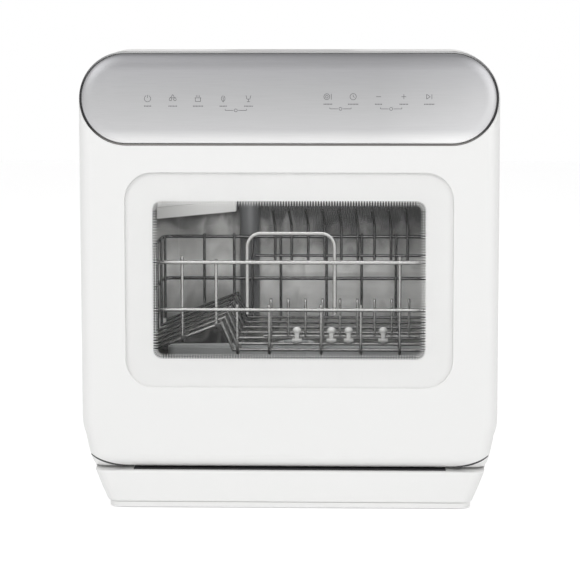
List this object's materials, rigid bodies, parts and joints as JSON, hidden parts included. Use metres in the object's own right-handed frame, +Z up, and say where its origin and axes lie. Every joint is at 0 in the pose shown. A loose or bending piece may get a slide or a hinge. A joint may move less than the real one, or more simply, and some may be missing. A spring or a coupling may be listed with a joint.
{
  "type": "countertop dishwasher",
  "caption": "Compact countertop dishwasher with a drop-down window door, pill-shaped control panel, sliding wire basket, spray arm, filter and top-filled water tank.",
  "frame": {"origin": "centre of the bounding box in plan, on the worktop under the feet", "axes": "+Z up, +Y from the door towards the back, +X to the right as seen from the front"},
  "size_m": [0.42, 0.435, 0.463],
  "materials": {
    "white_steel": "satin",
    "grey_steel": "satin",
    "screw_steel": "plain",
    "white_plastic": "semi-gloss",
    "grey_plastic": "matte",
    "dark_plastic": "matte",
    "rubber": "matte",
    "stainless": "brushed",
    "clear_glass": "clear",
    "white_glass": "clear with a white border",
    "brushed_alu": "brushed",
    "dark_chrome": "dark",
    "tank_plastic": "translucent",
    "board": "board",
    "coated_wire": "nylon coated",
    "spring_steel": "oiled"
  },
  "bodies": {
    "cabinet": {"cabinet_wrap": "white_steel", "rear_cover": "grey_steel", "rear_screws": "screw_steel", "base_tray": "white_plastic", "base_skirt": "white_plastic", "rubber_feet": "rubber", "plinth": "white_plastic", "tub_frame": "grey_plastic", "door_gasket": "rubber", "tub": "stainless", "basket_rails": "grey_plastic", "riser_duct": "grey_plastic", "drying_hood": "grey_plastic", "fan_housing": "dark_plastic", "sump": "dark_plastic", "filter_plate": "stainless", "sump_heater": "stainless", "wash_pump": "dark_plastic", "sump_hose": "rubber", "arm_post": "grey_plastic", "drain_pump": "dark_plastic", "drain_hose": "rubber", "drain_spigot": "grey_plastic", "water_tank": "tank_plastic", "tank_saddles": "grey_plastic", "fill_funnel": "white_plastic", "inlet_valve": "white_plastic", "tank_hose": "rubber", "power_board": "board", "cord_gland": "dark_plastic", "hinge_brackets": "grey_steel", "hinge_pins": "screw_steel", "hinge_springs": "spring_steel", "door_lock": "white_plastic"},
    "door": {"door_shell": "white_plastic", "door_glass": "white_glass", "door_liner": "stainless", "inner_pane": "clear_glass", "pane_gasket": "rubber", "control_panel": "brushed_alu", "panel_trim": "dark_chrome", "control_board": "board", "door_pull": "dark_plastic", "hinge_arms": "grey_steel", "lock_strike": "grey_steel", "dispenser_cup": "grey_plastic"},
    "dispenser_slider": {"dispenser_lid": "grey_plastic"},
    "basket": {"basket_rims": "coated_wire", "basket_stringers": "coated_wire", "basket_ribs": "coated_wire", "basket_handle": "coated_wire", "rear_comb": "coated_wire", "comb_clips": "white_plastic", "basket_glides": "white_plastic"},
    "folding_comb": {"plate_comb": "coated_wire"},
    "arm": {"spray_arm": "grey_plastic"},
    "filter": {"filter_cup": "grey_plastic"},
    "fan": {"fan_rotor": "dark_plastic"},
    "filler_lid": {"fill_lid": "white_plastic"},
    "float": {"overflow_float": "white_plastic"}
  },
  "joints": [
    {"name": "door_hinge", "type": "hinge", "parent": "cabinet", "child": "door", "pos_m": [0, -0.1935, 0.065], "axis": [1, 0, 0], "range_deg": [0, 90]},
    {"name": "basket_slide", "type": "slide", "parent": "cabinet", "child": "basket", "axis": [0, -1, 0], "range_m": [0, 0.166]},
    {"name": "comb_fold", "type": "hinge", "parent": "basket", "child": "folding_comb", "pos_m": [0, -0.1105, 0.16155], "axis": [-1, 0, 0], "range_deg": [0, 85]},
    {"name": "dispenser_slide", "type": "slide", "parent": "door", "child": "dispenser_slider", "axis": [-1, 0, 0], "range_m": [0, 0.054]},
    {"name": "arm_spin", "type": "hinge", "parent": "cabinet", "child": "arm", "pos_m": [0, -0.0127, 0.13], "axis": [0, 0, 1], "continuous": true},
    {"name": "filter_twist", "type": "hinge", "parent": "cabinet", "child": "filter", "pos_m": [0.07, -0.0957, 0.09], "axis": [0, 0, 1], "range_deg": [0, 60]},
    {"name": "fan_spin", "type": "hinge", "parent": "cabinet", "child": "fan", "pos_m": [-0.12, 0.1545, 0.2934], "axis": [0, 1, 0], "continuous": true},
    {"name": "filler_lid_hinge", "type": "hinge", "parent": "cabinet", "child": "filler_lid", "pos_m": [-0.128, -0.022, 0.4606], "axis": [-1, 0, 0], "range_deg": [0, 100]},
    {"name": "float_rise", "type": "slide", "parent": "cabinet", "child": "float", "axis": [0, 0, 1], "range_m": [0, 0.006]}
  ],
  "couplings": [
    {"joint": "basket_slide", "follows": "door_hinge", "m_per_rad": 0.105}
  ]
}
